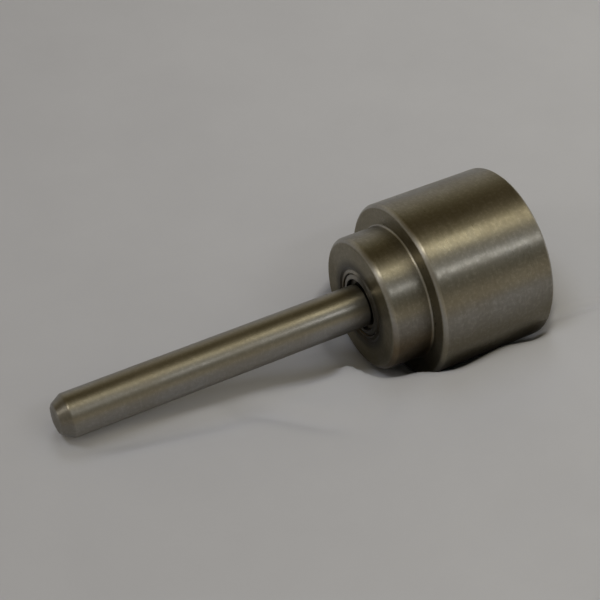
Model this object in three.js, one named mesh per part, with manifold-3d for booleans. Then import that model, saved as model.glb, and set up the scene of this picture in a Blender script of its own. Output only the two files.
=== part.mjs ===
// Live center with a straight shank for a tailstock drill chuck or collet.
// The arbor stands still. The head turns around it on a needle bearing in the boss, and on a radial and a
// thrust ball bearing inside the head. A 60 degree point in the nose cap carries the work.
//
// Frame: millimetres. The origin is the centre of the shank's end face. +X runs along the spin axis from the
// shank to the point, and +Z is up.

import * as THREE from "three";
import { mergeVertices } from "three/addons/utils/BufferGeometryUtils.js";
import Module from "manifold-3d";

const wasm = await Module();
wasm.setup();

// ---------------------------------------------------------------- driving dimensions

const SHANK_RADIUS = 4;
const SHANK_LENGTH = 58.8; // from its end face to the boss face
const SHANK_CHAMFER_LENGTH = 2.5;
const SHANK_END_RADIUS = 2.8;

const BOSS_RADIUS = 12.65;
const BOSS_LENGTH = 7.8;
const BOSS_CHAMFER = 0.8;
const BOSS_FILLET = 0.4; // where the boss meets the head's face

const HEAD_RADIUS = 16.6;
const HEAD_LENGTH = 23.3;
const HEAD_FRONT_CHAMFER = 0.85;
const HEAD_REAR_CHAMFER = 0.5;

const NEEDLE_BORE_RADIUS = 6.02; // bore of the boss, for the drawn cup
const MOUTH_CHAMFER = 0.4;
const MAIN_BORE_RADIUS = 11.05; // bore of the head, for the ball bearing
const FRONT_WALL = 3; // between the head's face and the main bore
const RECESS_RADIUS = 13.05; // counterbore for the nose cap
const RECESS_DEPTH = 4.6;
const RECESS_MOUTH_CHAMFER = 0.35;

const EDGE_CHAMFER = 0.25; // on the edges of the arbor, the nose cap and the point
const FACE_GAP = 0.02; // axial clearance between pieces that meet face to face
const BORE_GAP = 0.03; // radial clearance of a bore on the shank

const NEEDLE_COUNT = 10;
const NEEDLE_RADIUS = 0.72;
const NEEDLE_PITCH_RADIUS = 4.75;
const NEEDLE_LENGTH = 5.4;
const CUP_LENGTH = 8;
const CUP_RADIUS = 5.98;
const CUP_WALL = 0.48;
const CUP_LIP_RADIUS = 4.9;
const CUP_LIP_THICKNESS = 0.6;
const CUP_CORNER = 0.8; // outer corner of the drawn cup
const CUP_SETBACK = 0.25; // below the boss face
const CUP_LIP_DISH = 0.1; // the lip's inner edge lies this much deeper than its rounded corner
const NEEDLE_CAGE_GAP = 0.12; // to the shank, the cup's wall and its lips
const NEEDLE_POCKET_GAP = 0.06;

const BALL_COUNT = 7;
const BALL_RADIUS = 1.985;
const BALL_PITCH_RADIUS = 7.5;
const RACE_CLEARANCE = 0.06;
const BEARING_WIDTH = 7;
const INNER_RING_LAND_RADIUS = 6.05;
const OUTER_RING_LAND_RADIUS = 9;
const OUTER_RING_RADIUS = 10.97;
const RING_CHAMFER = 0.3;
const SHIELD_THICKNESS = 0.35;
const SHIELD_CLEARANCE = 0.3; // to the inner ring
const SHIELD_SETBACK = 0.15; // below the bearing's face
const SHIELD_EDGE_GAP = 0.05;
const BALL_CAGE_WIDTH = 5.2;
const BALL_CAGE_THICKNESS = 1.2;
const BALL_WINDOW_RADIUS = 2.12;

const WAVE_SPACE = 1.2;
const WAVE_THICKNESS = 0.3;
const WAVE_AMPLITUDE = 0.4;
const WAVE_COUNT = 3;
const WAVE_INNER_RADIUS = 9.3;
const WAVE_OUTER_RADIUS = 10.8;

const FLANGE_RADIUS = 6;
const FLANGE_WIDTH = 2.5;
const SPIGOT_LENGTH = 1.7;

const THRUST_WIDTH = 5;
const THRUST_RADIUS = 8;
const THRUST_BALL_COUNT = 9;
const THRUST_BALL_RADIUS = 1.19;
const THRUST_PITCH_RADIUS = 6;
const THRUST_WASHER_WIDTH = 1.65;
const HOUSING_WASHER_BORE_RADIUS = 4.2; // clears the point's tail
const THRUST_CAGE_WIDTH = 1;
const THRUST_CAGE_INNER_RADIUS = 4.35;
const THRUST_CAGE_OUTER_RADIUS = 7.75;
const THRUST_POCKET_GAP = 0.1;

const NOSE_CAP_RADIUS = 13;
const NOSE_CAP_WIDTH = 2.8;
const NOSE_HUB_RADIUS = 6.2;
const NOSE_FACE_STEP = 0.6; // the cap's face between hub and rim lies this much lower
const NOSE_RIM_RADIUS = 10.9;
const NOSE_EXTRACTION_HOLE_RADIUS = 1.25;
const NOSE_EXTRACTION_HOLE_PLACE = 8.5;

const SNAP_RING_WIDTH = 1.1;
const SNAP_RING_RADIUS = 13.5;
const SNAP_GROOVE_RADIUS = 13.62;
const SNAP_GROOVE_WIDTH = 1.2;
const SNAP_RING_GAP_ANGLE = THREE.MathUtils.degToRad(34);
const SNAP_LUG_ANGLE = THREE.MathUtils.degToRad(17);
const SNAP_LUG_RADIUS = 10.1; // inner end of the two lugs
const SNAP_LUG_HOLE_RADIUS = 0.75;
const SNAP_LUG_HOLE_PLACE = 11.45;
const SNAP_LUG_HOLE_SHARE = 0.42; // of the lug's angle, from the gap
const SNAP_BAND_WIDEST = 2.3;
const SNAP_BAND_NARROWEST = 1.5;

const POINT_RADIUS = 4;
const POINT_HALF_ANGLE = THREE.MathUtils.degToRad(30);
const POINT_TIP_RADIUS = 0.25;
const POINT_TAIL_LENGTH = 1.4; // behind the nose cap, inside the thrust washer

// sides of the round pieces, and steps of the arcs in their profiles
const HEAD_SIDES = 64;
const MEDIUM_SIDES = 48;
const RING_SIDES = 36;
const WASHER_SIDES = 32;
const HOLE_SIDES = 12;
const NEEDLE_SIDES = 8;
const BALL_SIDES = 10;
const SMALL_BALL_SIDES = 8;
const GROOVE_STEPS = 4;
const CORNER_STEPS = 2;
const FILLET_STEPS = 3;
const SNAP_RING_STEPS = 40;

// ---------------------------------------------------------------- stations along X

const X_BOSS = SHANK_LENGTH;
const X_HEAD = X_BOSS + BOSS_LENGTH;
const X_REAR = X_HEAD + HEAD_LENGTH;
const X_MAIN_BORE = X_HEAD + FRONT_WALL;
const X_BALL_BEARING = X_MAIN_BORE + WAVE_SPACE;
const X_FLANGE = X_BALL_BEARING + BEARING_WIDTH;
const X_THRUST = X_FLANGE + FLANGE_WIDTH;
const X_NOSE_CAP = X_THRUST + THRUST_WIDTH;
const X_NOSE_FACE = X_NOSE_CAP + NOSE_CAP_WIDTH;
const X_SNAP_GROOVE = X_NOSE_FACE;

// ---------------------------------------------------------------- materials

function steel(color, roughness) {
  return new THREE.MeshStandardMaterial({ color, roughness, metalness: 1 });
}

const TURNED_STEEL = steel(0x8c887e, 0.38);
const GROUND_STEEL = steel(0x9a968a, 0.26);
const BEARING_STEEL = steel(0xb4b2ac, 0.16);
const DRAWN_STEEL = steel(0x87847c, 0.34);
const CAGE_STEEL = steel(0x7d796f, 0.42);
const SPRING_STEEL = steel(0x3e3b36, 0.45);
const HARDENED_STEEL = steel(0xa5a29a, 0.2);

// ---------------------------------------------------------------- shape helpers

// A solid of revolution around X. Each profile point is [x, radius], from low x along the outside.
function turned(profile, segments) {
  const points = profile.map(([x, radius]) => new THREE.Vector2(radius, x));
  const geometry = new THREE.LatheGeometry(points, segments);
  geometry.rotateZ(-Math.PI / 2);
  return geometry;
}

// A ring of revolution around X: its profile is closed on itself.
function turnedRing(profile, segments) {
  return turned([...profile, profile[0]], segments);
}

// Points of an arc in the profile plane, around [x, radius].
function arc(x, radius, arcRadius, fromAngle, toAngle, steps) {
  return Array.from({ length: steps + 1 }, (_, i) => {
    const angle = fromAngle + ((toAngle - fromAngle) * i) / steps;
    return [x + arcRadius * Math.cos(angle), radius + arcRadius * Math.sin(angle)];
  });
}

// A flat plate of the given outline in the YZ plane, from x to x + width.
function plate(shape, x, width) {
  const geometry = new THREE.ExtrudeGeometry(shape, { depth: width, bevelEnabled: false });
  geometry.rotateY(Math.PI / 2);
  geometry.translate(x, 0, 0);
  return geometry;
}

// A point of the plane at a radius and an angle.
function polar(radius, angle) {
  return new THREE.Vector2(radius * Math.cos(angle), radius * Math.sin(angle));
}

function circle(centre, radius, segments) {
  return places(segments).map((angle) => polar(radius, angle).add(centre));
}

function toSolid(geometry) {
  const bare = geometry.clone();
  bare.deleteAttribute("normal");
  bare.deleteAttribute("uv");
  const merged = mergeVertices(bare, 1e-4);
  return new wasm.Manifold(
    new wasm.Mesh({
      numProp: 3,
      vertProperties: merged.attributes.position.array,
      triVerts: new Uint32Array(merged.index.array),
    }),
  );
}

function toGeometry(solid) {
  const mesh = solid.getMesh();
  const geometry = new THREE.BufferGeometry();
  geometry.setAttribute("position", new THREE.BufferAttribute(mesh.vertProperties, 3));
  geometry.setIndex(new THREE.BufferAttribute(mesh.triVerts, 1));
  geometry.computeVertexNormals();
  return geometry;
}

// The geometry with each of the cutters taken out of it.
function cut(geometry, cutters) {
  return toGeometry(cutters.reduce((solid, cutter) => solid.subtract(toSolid(cutter)), toSolid(geometry)));
}

// Angles of count equal places around the spin axis, measured from +Z towards -Y.
function places(count) {
  return Array.from({ length: count }, (_, i) => (2 * Math.PI * i) / count);
}

// Moves a geometry that was made on the spin axis out to a radius, at an angle around X.
function placedAround(geometry, radius, angle) {
  return geometry.translate(0, 0, radius).rotateX(angle);
}

function twoDigits(number) {
  return String(number).padStart(2, "0");
}

const object = new THREE.Group();

function add(parent, name, geometry, material) {
  const mesh = new THREE.Mesh(geometry, material);
  mesh.name = name;
  parent.add(mesh);
  return mesh;
}

// ---------------------------------------------------------------- arbor

function makeArbor() {
  const flangeStart = X_FLANGE + FACE_GAP;
  const spigotEnd = X_THRUST + SPIGOT_LENGTH;
  const edge = EDGE_CHAMFER;
  const profile = [
    [0, 0],
    [0, SHANK_END_RADIUS - edge],
    [edge, SHANK_END_RADIUS],
    [SHANK_CHAMFER_LENGTH, SHANK_RADIUS],
    [flangeStart, SHANK_RADIUS],
    [flangeStart, FLANGE_RADIUS - edge],
    [flangeStart + edge, FLANGE_RADIUS],
    [X_THRUST - FACE_GAP, FLANGE_RADIUS],
    [X_THRUST - FACE_GAP, SHANK_RADIUS],
    [spigotEnd - edge, SHANK_RADIUS],
    [spigotEnd, SHANK_RADIUS - edge],
    [spigotEnd, 0],
  ];
  return turned(profile, MEDIUM_SIDES);
}

// ---------------------------------------------------------------- head shell

function makeHeadShell() {
  const fillet = arc(
    X_HEAD - BOSS_FILLET,
    BOSS_RADIUS + BOSS_FILLET,
    BOSS_FILLET,
    -Math.PI / 2,
    0,
    FILLET_STEPS,
  );
  const recessFloor = X_REAR - RECESS_DEPTH;
  const outside = [
    [X_BOSS, NEEDLE_BORE_RADIUS + MOUTH_CHAMFER],
    [X_BOSS, BOSS_RADIUS - BOSS_CHAMFER],
    [X_BOSS + BOSS_CHAMFER, BOSS_RADIUS],
    ...fillet,
    [X_HEAD, HEAD_RADIUS - HEAD_FRONT_CHAMFER],
    [X_HEAD + HEAD_FRONT_CHAMFER, HEAD_RADIUS],
    [X_REAR - HEAD_REAR_CHAMFER, HEAD_RADIUS],
    [X_REAR, HEAD_RADIUS - HEAD_REAR_CHAMFER],
  ];
  const inside = [
    [X_REAR, RECESS_RADIUS + RECESS_MOUTH_CHAMFER],
    [X_REAR - RECESS_MOUTH_CHAMFER, RECESS_RADIUS],
    [X_SNAP_GROOVE + SNAP_GROOVE_WIDTH, RECESS_RADIUS],
    [X_SNAP_GROOVE + SNAP_GROOVE_WIDTH, SNAP_GROOVE_RADIUS],
    [X_SNAP_GROOVE, SNAP_GROOVE_RADIUS],
    [X_SNAP_GROOVE, RECESS_RADIUS],
    [recessFloor, RECESS_RADIUS],
    [recessFloor, MAIN_BORE_RADIUS],
    [X_MAIN_BORE, MAIN_BORE_RADIUS],
    [X_MAIN_BORE, NEEDLE_BORE_RADIUS],
    [X_BOSS + MOUTH_CHAMFER, NEEDLE_BORE_RADIUS],
  ];
  return turnedRing([...outside, ...inside], HEAD_SIDES);
}

// ---------------------------------------------------------------- needle bearing in the boss

const X_CUP = X_BOSS + CUP_SETBACK;

// A drawn cup: a thin sleeve whose two ends turn in to lips that hold the cage.
function makeNeedleCup() {
  const innerRadius = CUP_RADIUS - CUP_WALL;
  const end = X_CUP + CUP_LENGTH;
  const frontCorner = arc(
    X_CUP + CUP_CORNER,
    CUP_RADIUS - CUP_CORNER,
    CUP_CORNER,
    Math.PI,
    Math.PI / 2,
    CORNER_STEPS,
  );
  const rearCorner = arc(
    end - CUP_CORNER,
    CUP_RADIUS - CUP_CORNER,
    CUP_CORNER,
    Math.PI / 2,
    0,
    CORNER_STEPS,
  );
  const profile = [
    [X_CUP + CUP_LIP_DISH, CUP_LIP_RADIUS],
    ...frontCorner,
    ...rearCorner,
    [end - CUP_LIP_DISH, CUP_LIP_RADIUS],
    [end - CUP_LIP_THICKNESS, CUP_LIP_RADIUS],
    [end - CUP_LIP_THICKNESS, innerRadius],
    [X_CUP + CUP_LIP_THICKNESS, innerRadius],
    [X_CUP + CUP_LIP_THICKNESS, CUP_LIP_RADIUS],
  ];
  return turnedRing(profile, MEDIUM_SIDES);
}

function makeNeedle(angle) {
  const needle = new THREE.CylinderGeometry(NEEDLE_RADIUS, NEEDLE_RADIUS, NEEDLE_LENGTH, NEEDLE_SIDES);
  needle.rotateZ(Math.PI / 2);
  needle.translate(X_CUP + CUP_LENGTH / 2, 0, 0);
  return placedAround(needle, NEEDLE_PITCH_RADIUS, angle);
}

function makeNeedleCage() {
  const innerRadius = SHANK_RADIUS + NEEDLE_CAGE_GAP;
  const outerRadius = CUP_RADIUS - CUP_WALL - NEEDLE_CAGE_GAP;
  const start = X_CUP + CUP_LIP_THICKNESS + NEEDLE_CAGE_GAP;
  const end = X_CUP + CUP_LENGTH - CUP_LIP_THICKNESS - NEEDLE_CAGE_GAP;
  const sleeve = turnedRing(
    [
      [start, innerRadius],
      [start, outerRadius],
      [end, outerRadius],
      [end, innerRadius],
    ],
    4 * NEEDLE_COUNT,
  );
  const pocketDepth = 2 * (outerRadius - innerRadius);
  const pockets = places(NEEDLE_COUNT).map((angle) => {
    const pocket = new THREE.BoxGeometry(
      NEEDLE_LENGTH + 2 * NEEDLE_POCKET_GAP,
      2 * (NEEDLE_RADIUS + NEEDLE_POCKET_GAP),
      pocketDepth,
    );
    pocket.translate(X_CUP + CUP_LENGTH / 2, 0, 0);
    return placedAround(pocket, NEEDLE_PITCH_RADIUS, angle);
  });
  return cut(sleeve, pockets);
}

// ---------------------------------------------------------------- radial ball bearing

const X_BALLS = X_BALL_BEARING + BEARING_WIDTH / 2;
const GROOVE_RADIUS = BALL_RADIUS + RACE_CLEARANCE;
const RING_HALF_WIDTH = BEARING_WIDTH / 2 - FACE_GAP;

function raceway(fromAngle, toAngle) {
  return arc(X_BALLS, BALL_PITCH_RADIUS, GROOVE_RADIUS, fromAngle, toAngle, GROOVE_STEPS);
}

function makeInnerRing() {
  const bore = SHANK_RADIUS + BORE_GAP;
  const reach = Math.acos((BALL_PITCH_RADIUS - INNER_RING_LAND_RADIUS) / GROOVE_RADIUS);
  const groove = raceway(-Math.PI / 2 - reach, -Math.PI / 2 + reach);
  return turnedRing(
    [
      [X_BALLS - RING_HALF_WIDTH, bore],
      [X_BALLS - RING_HALF_WIDTH, INNER_RING_LAND_RADIUS - RING_CHAMFER],
      [X_BALLS - RING_HALF_WIDTH + RING_CHAMFER, INNER_RING_LAND_RADIUS],
      ...groove,
      [X_BALLS + RING_HALF_WIDTH - RING_CHAMFER, INNER_RING_LAND_RADIUS],
      [X_BALLS + RING_HALF_WIDTH, INNER_RING_LAND_RADIUS - RING_CHAMFER],
      [X_BALLS + RING_HALF_WIDTH, bore],
    ],
    RING_SIDES,
  );
}

function makeOuterRing() {
  const reach = Math.acos((OUTER_RING_LAND_RADIUS - BALL_PITCH_RADIUS) / GROOVE_RADIUS);
  const groove = raceway(Math.PI / 2 - reach, Math.PI / 2 + reach);
  return turnedRing(
    [
      [X_BALLS - RING_HALF_WIDTH, OUTER_RING_LAND_RADIUS],
      [X_BALLS - RING_HALF_WIDTH, OUTER_RING_RADIUS - RING_CHAMFER],
      [X_BALLS - RING_HALF_WIDTH + RING_CHAMFER, OUTER_RING_RADIUS],
      [X_BALLS + RING_HALF_WIDTH - RING_CHAMFER, OUTER_RING_RADIUS],
      [X_BALLS + RING_HALF_WIDTH, OUTER_RING_RADIUS - RING_CHAMFER],
      [X_BALLS + RING_HALF_WIDTH, OUTER_RING_LAND_RADIUS],
      ...groove,
    ],
    RING_SIDES,
  );
}

function makeBall(angle) {
  const ball = new THREE.SphereGeometry(BALL_RADIUS, BALL_SIDES, BALL_SIDES - 2);
  ball.translate(X_BALLS, 0, 0);
  return placedAround(ball, BALL_PITCH_RADIUS, angle);
}

function makeBallCage() {
  const halfWidth = BALL_CAGE_WIDTH / 2;
  const halfThickness = BALL_CAGE_THICKNESS / 2;
  const sleeve = turnedRing(
    [
      [X_BALLS - halfWidth, BALL_PITCH_RADIUS - halfThickness],
      [X_BALLS - halfWidth, BALL_PITCH_RADIUS + halfThickness],
      [X_BALLS + halfWidth, BALL_PITCH_RADIUS + halfThickness],
      [X_BALLS + halfWidth, BALL_PITCH_RADIUS - halfThickness],
    ],
    5 * BALL_COUNT,
  );
  const windows = places(BALL_COUNT).map((angle) => {
    const window = new THREE.CylinderGeometry(
      BALL_WINDOW_RADIUS,
      BALL_WINDOW_RADIUS,
      2 * BALL_CAGE_THICKNESS,
      HOLE_SIDES,
    );
    window.rotateX(Math.PI / 2);
    window.translate(X_BALLS, 0, 0);
    return placedAround(window, BALL_PITCH_RADIUS, angle);
  });
  return cut(sleeve, windows);
}

// A shield is a thin disc fixed in the outer ring, on the side given by direction (-1 front, 1 rear).
function makeShield(direction) {
  const outerFace = X_BALLS + direction * (BEARING_WIDTH / 2 - SHIELD_SETBACK);
  const innerFace = outerFace - direction * SHIELD_THICKNESS;
  const innerRadius = INNER_RING_LAND_RADIUS + SHIELD_CLEARANCE;
  const outerRadius = OUTER_RING_LAND_RADIUS - SHIELD_EDGE_GAP;
  const low = Math.min(outerFace, innerFace);
  const high = Math.max(outerFace, innerFace);
  return turnedRing(
    [
      [low, innerRadius],
      [low, outerRadius],
      [high, outerRadius],
      [high, innerRadius],
    ],
    WASHER_SIDES,
  );
}

// ---------------------------------------------------------------- wave washer

function makeWaveWasher() {
  const middle = X_MAIN_BORE + WAVE_SPACE / 2;
  const washer = turnedRing(
    [
      [middle - WAVE_THICKNESS / 2, WAVE_INNER_RADIUS],
      [middle - WAVE_THICKNESS / 2, WAVE_OUTER_RADIUS],
      [middle + WAVE_THICKNESS / 2, WAVE_OUTER_RADIUS],
      [middle + WAVE_THICKNESS / 2, WAVE_INNER_RADIUS],
    ],
    MEDIUM_SIDES,
  );
  const position = washer.getAttribute("position");
  for (let i = 0; i < position.count; i += 1) {
    const angle = Math.atan2(position.getZ(i), position.getY(i));
    position.setX(i, position.getX(i) + WAVE_AMPLITUDE * Math.cos(WAVE_COUNT * angle));
  }
  return washer;
}

// ---------------------------------------------------------------- thrust bearing

const X_THRUST_BALLS = X_THRUST + THRUST_WIDTH / 2;

// A washer with a shallow raceway on the face that looks to the balls: direction is 1 for the shaft washer,
// whose raceway looks to +X, and -1 for the housing washer.
function makeThrustWasher(direction, boreRadius) {
  const backFace = X_THRUST_BALLS - direction * (THRUST_WIDTH / 2 - FACE_GAP);
  const raceFace = backFace + direction * (THRUST_WASHER_WIDTH - FACE_GAP);
  const grooveRadius = THRUST_BALL_RADIUS + RACE_CLEARANCE;
  const depthToFace = Math.abs(X_THRUST_BALLS - raceFace);
  const reach = Math.acos(depthToFace / grooveRadius);
  const towards = direction > 0 ? Math.PI : 0;
  const groove = arc(
    X_THRUST_BALLS,
    THRUST_PITCH_RADIUS,
    grooveRadius,
    towards - reach,
    towards + reach,
    GROOVE_STEPS,
  );
  const profile = [[backFace, boreRadius], [backFace, THRUST_RADIUS], [raceFace, THRUST_RADIUS]];
  const outerFirst = direction > 0 ? groove : groove.reverse();
  profile.push(...outerFirst, [raceFace, boreRadius]);
  return turnedRing(direction > 0 ? profile : profile.reverse(), WASHER_SIDES);
}

function makeThrustBall(angle) {
  const ball = new THREE.SphereGeometry(THRUST_BALL_RADIUS, SMALL_BALL_SIDES, SMALL_BALL_SIDES - 2);
  ball.translate(X_THRUST_BALLS, 0, 0);
  return placedAround(ball, THRUST_PITCH_RADIUS, angle);
}

function makeThrustCage() {
  const axis = new THREE.Vector2(0, 0);
  const outline = new THREE.Shape(circle(axis, THRUST_CAGE_OUTER_RADIUS, RING_SIDES));
  outline.holes.push(new THREE.Path(circle(axis, THRUST_CAGE_INNER_RADIUS, RING_SIDES)));
  for (const angle of places(THRUST_BALL_COUNT)) {
    const centre = polar(-THRUST_PITCH_RADIUS, angle);
    const pocket = circle(centre, THRUST_BALL_RADIUS + THRUST_POCKET_GAP, HOLE_SIDES);
    outline.holes.push(new THREE.Path(pocket));
  }
  return plate(outline, X_THRUST_BALLS - THRUST_CAGE_WIDTH / 2, THRUST_CAGE_WIDTH);
}

// ---------------------------------------------------------------- nose cap, its retaining ring and the point

function makeNoseCap() {
  const start = X_NOSE_CAP + FACE_GAP;
  const face = X_NOSE_FACE - FACE_GAP;
  const bore = POINT_RADIUS + BORE_GAP;
  const disc = turnedRing(
    [
      [start, bore],
      [start, NOSE_CAP_RADIUS - EDGE_CHAMFER],
      [start + EDGE_CHAMFER, NOSE_CAP_RADIUS],
      [face, NOSE_CAP_RADIUS],
      [face, NOSE_RIM_RADIUS],
      [face - NOSE_FACE_STEP, NOSE_RIM_RADIUS - NOSE_FACE_STEP],
      [face - NOSE_FACE_STEP, NOSE_HUB_RADIUS + NOSE_FACE_STEP],
      [face, NOSE_HUB_RADIUS],
      [face, bore],
    ],
    MEDIUM_SIDES,
  );
  const holes = [-1, 1].map((side) => {
    const hole = new THREE.CylinderGeometry(
      NOSE_EXTRACTION_HOLE_RADIUS,
      NOSE_EXTRACTION_HOLE_RADIUS,
      2 * NOSE_CAP_WIDTH,
      HOLE_SIDES,
    );
    hole.rotateZ(Math.PI / 2);
    hole.translate(X_NOSE_CAP + NOSE_CAP_WIDTH / 2, side * NOSE_EXTRACTION_HOLE_PLACE, 0);
    return hole;
  });
  return cut(disc, holes);
}

// An internal snap ring: a band that is widest opposite its gap, with a lug and a plier hole at each end.
function makeRetainingRing() {
  const start = SNAP_RING_GAP_ANGLE / 2;
  const end = 2 * Math.PI - start;
  const outer = [];
  const inner = [];
  for (let i = 0; i <= SNAP_RING_STEPS; i += 1) {
    const angle = start + ((end - start) * i) / SNAP_RING_STEPS;
    outer.push(polar(SNAP_RING_RADIUS, angle));
  }
  const bandStart = start + SNAP_LUG_ANGLE;
  const bandEnd = end - SNAP_LUG_ANGLE;
  for (let i = 0; i <= SNAP_RING_STEPS; i += 1) {
    const angle = bandEnd - ((bandEnd - bandStart) * i) / SNAP_RING_STEPS;
    const share = (1 - Math.cos(angle)) / 2;
    const band = THREE.MathUtils.lerp(SNAP_BAND_NARROWEST, SNAP_BAND_WIDEST, share);
    inner.push(polar(SNAP_RING_RADIUS - band, angle));
  }
  const lugSlope = SNAP_LUG_ANGLE / 4; // the lugs widen towards the band
  const outline = [
    ...outer,
    polar(SNAP_LUG_RADIUS, end),
    polar(SNAP_LUG_RADIUS, bandEnd + lugSlope),
    ...inner,
    polar(SNAP_LUG_RADIUS, bandStart - lugSlope),
    polar(SNAP_LUG_RADIUS, start),
  ];
  const shape = new THREE.Shape(outline);
  const holeAngle = start + SNAP_LUG_HOLE_SHARE * SNAP_LUG_ANGLE;
  for (const angle of [holeAngle, -holeAngle]) {
    const centre = polar(SNAP_LUG_HOLE_PLACE, angle);
    shape.holes.push(new THREE.Path(circle(centre, SNAP_LUG_HOLE_RADIUS, HOLE_SIDES)));
  }
  const gap = (SNAP_GROOVE_WIDTH - SNAP_RING_WIDTH) / 2;
  return plate(shape, X_SNAP_GROOVE + gap, SNAP_RING_WIDTH).rotateX(Math.PI); // its gap faces +Z
}

function makeCenterPoint() {
  const coneStart = X_NOSE_FACE;
  const coneLength = (POINT_RADIUS - POINT_TIP_RADIUS) / Math.tan(POINT_HALF_ANGLE);
  const tail = X_NOSE_CAP - POINT_TAIL_LENGTH;
  return turned(
    [
      [tail, 0],
      [tail, POINT_RADIUS - EDGE_CHAMFER],
      [tail + EDGE_CHAMFER, POINT_RADIUS],
      [coneStart, POINT_RADIUS],
      [coneStart + coneLength, POINT_TIP_RADIUS],
      [coneStart + coneLength, 0],
    ],
    WASHER_SIDES,
  );
}

// ---------------------------------------------------------------- assembly

const stationary = new THREE.Group();
const rotating = new THREE.Group();
const needleSet = new THREE.Group();
const ballSet = new THREE.Group();
const thrustSet = new THREE.Group();
object.add(stationary, rotating, needleSet, ballSet, thrustSet);

add(stationary, "arbor", makeArbor(), GROUND_STEEL);
add(stationary, "ball_bearing_inner_ring", makeInnerRing(), BEARING_STEEL);
add(stationary, "thrust_shaft_washer", makeThrustWasher(1, SHANK_RADIUS + BORE_GAP), BEARING_STEEL);

add(rotating, "head_shell", makeHeadShell(), TURNED_STEEL);
add(rotating, "needle_bearing_cup", makeNeedleCup(), DRAWN_STEEL);
add(rotating, "wave_washer", makeWaveWasher(), SPRING_STEEL);
add(rotating, "ball_bearing_outer_ring", makeOuterRing(), BEARING_STEEL);
add(rotating, "bearing_shield_front", makeShield(-1), DRAWN_STEEL);
add(rotating, "bearing_shield_rear", makeShield(1), DRAWN_STEEL);
add(rotating, "thrust_housing_washer", makeThrustWasher(-1, HOUSING_WASHER_BORE_RADIUS), BEARING_STEEL);
add(rotating, "nose_cap", makeNoseCap(), TURNED_STEEL);
add(rotating, "retaining_ring", makeRetainingRing(), SPRING_STEEL);
add(rotating, "center_point", makeCenterPoint(), HARDENED_STEEL);

add(needleSet, "needle_cage", makeNeedleCage(), CAGE_STEEL);
places(NEEDLE_COUNT).forEach((angle, i) => {
  add(needleSet, `needle_${twoDigits(i + 1)}`, makeNeedle(angle), BEARING_STEEL);
});

add(ballSet, "ball_cage", makeBallCage(), CAGE_STEEL);
places(BALL_COUNT).forEach((angle, i) => {
  add(ballSet, `ball_${twoDigits(i + 1)}`, makeBall(angle), BEARING_STEEL);
});

add(thrustSet, "thrust_cage", makeThrustCage(), CAGE_STEEL);
places(THRUST_BALL_COUNT).forEach((angle, i) => {
  add(thrustSet, `thrust_ball_${twoDigits(i + 1)}`, makeThrustBall(angle), BEARING_STEEL);
});

export default object;
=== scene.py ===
import math

import bmesh
import bpy
import numpy as np
from mathutils import Matrix, Vector, noise


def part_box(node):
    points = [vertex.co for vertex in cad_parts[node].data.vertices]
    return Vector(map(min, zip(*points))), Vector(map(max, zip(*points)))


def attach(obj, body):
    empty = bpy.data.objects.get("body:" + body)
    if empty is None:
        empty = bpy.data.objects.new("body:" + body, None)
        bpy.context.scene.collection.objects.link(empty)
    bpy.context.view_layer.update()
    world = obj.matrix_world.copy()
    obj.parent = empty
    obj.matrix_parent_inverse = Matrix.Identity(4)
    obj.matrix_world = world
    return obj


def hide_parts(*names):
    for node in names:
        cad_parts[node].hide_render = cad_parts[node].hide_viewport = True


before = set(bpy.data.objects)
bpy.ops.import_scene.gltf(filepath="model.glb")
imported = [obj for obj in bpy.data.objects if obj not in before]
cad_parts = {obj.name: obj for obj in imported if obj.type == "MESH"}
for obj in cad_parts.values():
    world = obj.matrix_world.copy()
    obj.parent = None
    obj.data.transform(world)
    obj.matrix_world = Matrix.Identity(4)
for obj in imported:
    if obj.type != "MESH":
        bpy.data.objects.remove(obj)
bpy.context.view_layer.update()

MM = 0.001

# ------------------------------------------------------------------ places, from the frame

head_low, head_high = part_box("head_shell")
cup_low, cup_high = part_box("needle_bearing_cup")
cap_low, cap_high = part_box("nose_cap")
ring_low, ring_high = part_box("retaining_ring")
point_low, point_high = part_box("center_point")
arbor_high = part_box("arbor")[1]
inner_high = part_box("ball_bearing_inner_ring")[1]
outer_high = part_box("ball_bearing_outer_ring")[1]

X_BOSS = head_low.x / MM
X_REAR = head_high.x / MM
HEAD_RADIUS = head_high.z / MM
BOSS_LENGTH = 7.8
X_HEAD = X_BOSS + BOSS_LENGTH
BOSS_RADIUS = 12.65
CUP_RADIUS = cup_high.z / MM
X_CUP = cup_low.x / MM
CUP_END = cup_high.x / MM
X_FLANGE = inner_high.x / MM + 0.04
SHANK_RADIUS = 4.0
SPIGOT_END = arbor_high.x / MM
FLANGE_RADIUS = arbor_high.z / MM
FLANGE_END = X_FLANGE + 2.42
CAP_START = cap_low.x / MM
CAP_FACE = cap_high.x / MM
CAP_RADIUS = cap_high.y / MM
RING_START = ring_low.x / MM
RING_END = ring_high.x / MM
RING_RADIUS = ring_high.y / MM
POINT_TAIL = point_low.x / MM
POINT_END = point_high.x / MM
POINT_RADIUS = point_high.z / MM

# ------------------------------------------------------------------ node helpers


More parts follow.
